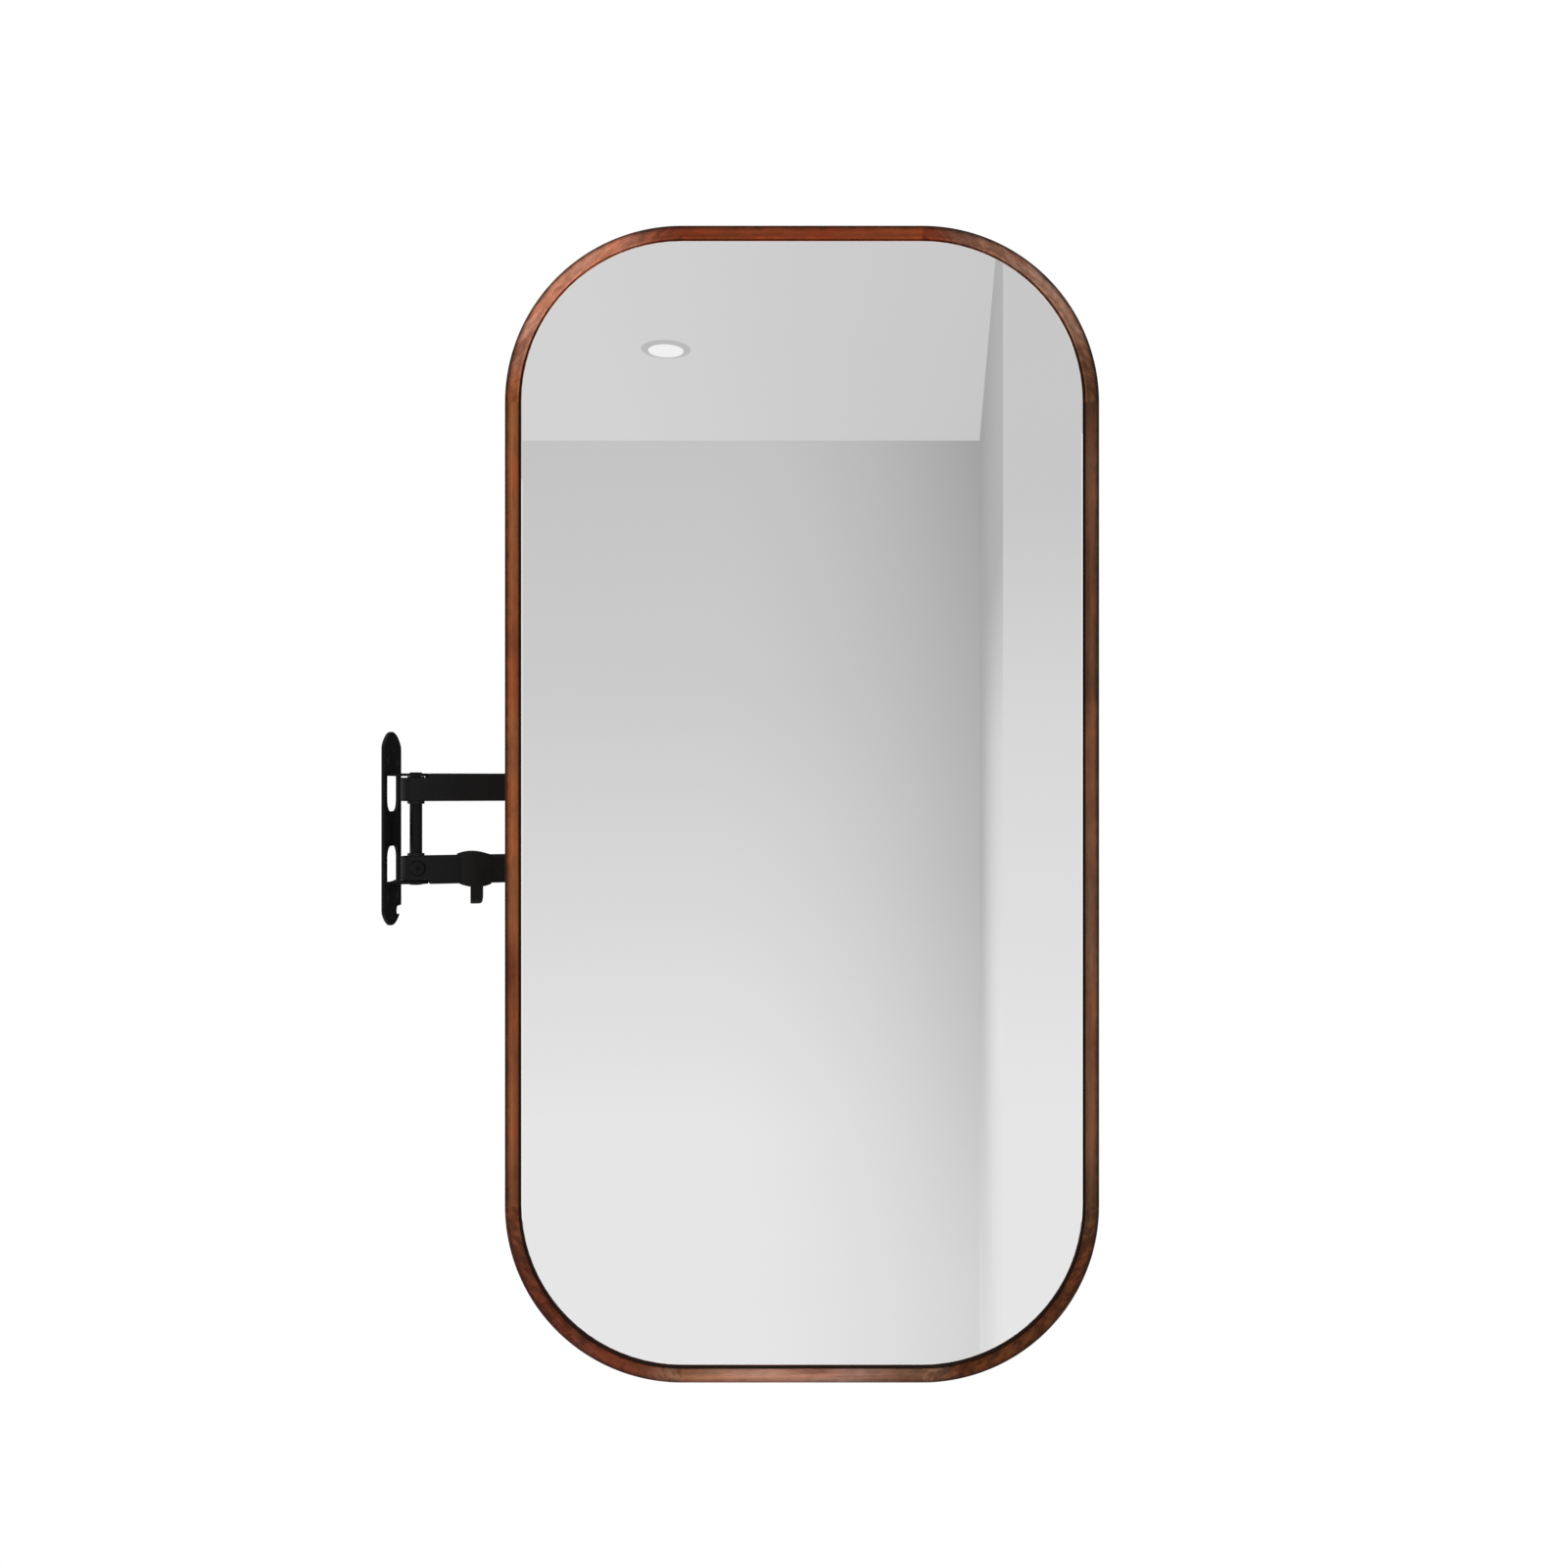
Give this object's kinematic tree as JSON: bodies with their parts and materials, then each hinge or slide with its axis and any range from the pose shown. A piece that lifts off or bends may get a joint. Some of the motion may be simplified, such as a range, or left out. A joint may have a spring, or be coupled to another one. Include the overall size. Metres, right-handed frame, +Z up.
{
  "type": "wall-mounted makeup mirror",
  "caption": "Tall wall-mounted makeup mirror in a rounded wooden frame, carried on a black folding swing arm that swivels and tilts.",
  "frame": {"origin": "middle of the wall plate's back face, which lies on the wall", "axes": "+X out of the wall along the arm, +Y away from the viewer (the mirror faces -Y), +Z up"},
  "size_m": [0.5086, 0.144, 0.798],
  "materials": {
    "walnut": "satin oil",
    "plywood": "sanded, clear sealed",
    "beech": "raw",
    "silvered_glass": "polished",
    "black_rubber": "matt",
    "foam": "closed-cell foam",
    "tape": "acrylic mounting tape",
    "black_steel": "fine-textured powder coat",
    "black_aluminium": "fine-textured black powder coat",
    "zinc_steel": "bright zinc",
    "nylon": "moulded",
    "hook_plastic": "moulded"
  },
  "bodies": {
    "wall_bracket": {"wall_plate": "black_steel", "wall_pivot_pin": "black_steel"},
    "first_arm": {"upper_bar": "black_aluminium", "lower_bar": "black_aluminium", "post": "black_steel", "wall_bushes": "nylon", "ear_washers": "nylon", "elbow_pin": "black_steel", "tension_screw": "black_steel", "cable_hook": "hook_plastic"},
    "second_arm": {"second_arm": "black_aluminium", "elbow_bushes": "nylon", "head_bushes": "nylon"},
    "head": {"swivel_yoke": "black_steel", "head_pin": "black_steel", "tilt_channel": "black_steel", "head_rivets": "black_steel"},
    "mirror": {"lug_bracket": "black_steel", "lug_rivets": "black_steel", "tilt_bolt": "zinc_steel", "tilt_nut": "zinc_steel", "tilt_washers": "nylon", "mount_plate": "black_steel", "mount_bolts": "zinc_steel", "t_nuts": "zinc_steel", "back_panel": "plywood", "panel_screws": "zinc_steel", "frame_dowels": "beech", "mirror_glass": "silvered_glass", "glass_gasket": "black_rubber", "mirror_tape": "tape", "glass_pads": "foam", "rail_top": "walnut", "rail_bottom": "walnut", "rail_left": "walnut", "rail_right": "walnut", "corner_top_left": "walnut", "corner_top_right": "walnut", "corner_bottom_left": "walnut", "corner_bottom_right": "walnut"}
  },
  "joints": [
    {"name": "wall_swing", "type": "hinge", "parent": "wall_bracket", "child": "first_arm", "pos_m": [0.019, 0, 0], "axis": [0, 0, 1], "range_deg": [-50, 62]},
    {"name": "elbow_swing", "type": "hinge", "parent": "first_arm", "child": "second_arm", "pos_m": [0.16935, 0.05472, 0], "axis": [0, 0, -1], "range_deg": [-120, 10]},
    {"name": "head_swivel", "type": "hinge", "parent": "second_arm", "child": "head", "pos_m": [0.30363, 0, 0], "axis": [0, 0, 1], "range_deg": [-12, 90]},
    {"name": "mirror_tilt", "type": "hinge", "parent": "head", "child": "mirror", "pos_m": [0.30363, -0.034, 0], "axis": [1, 0, 0], "range_deg": [-12, 12]}
  ]
}
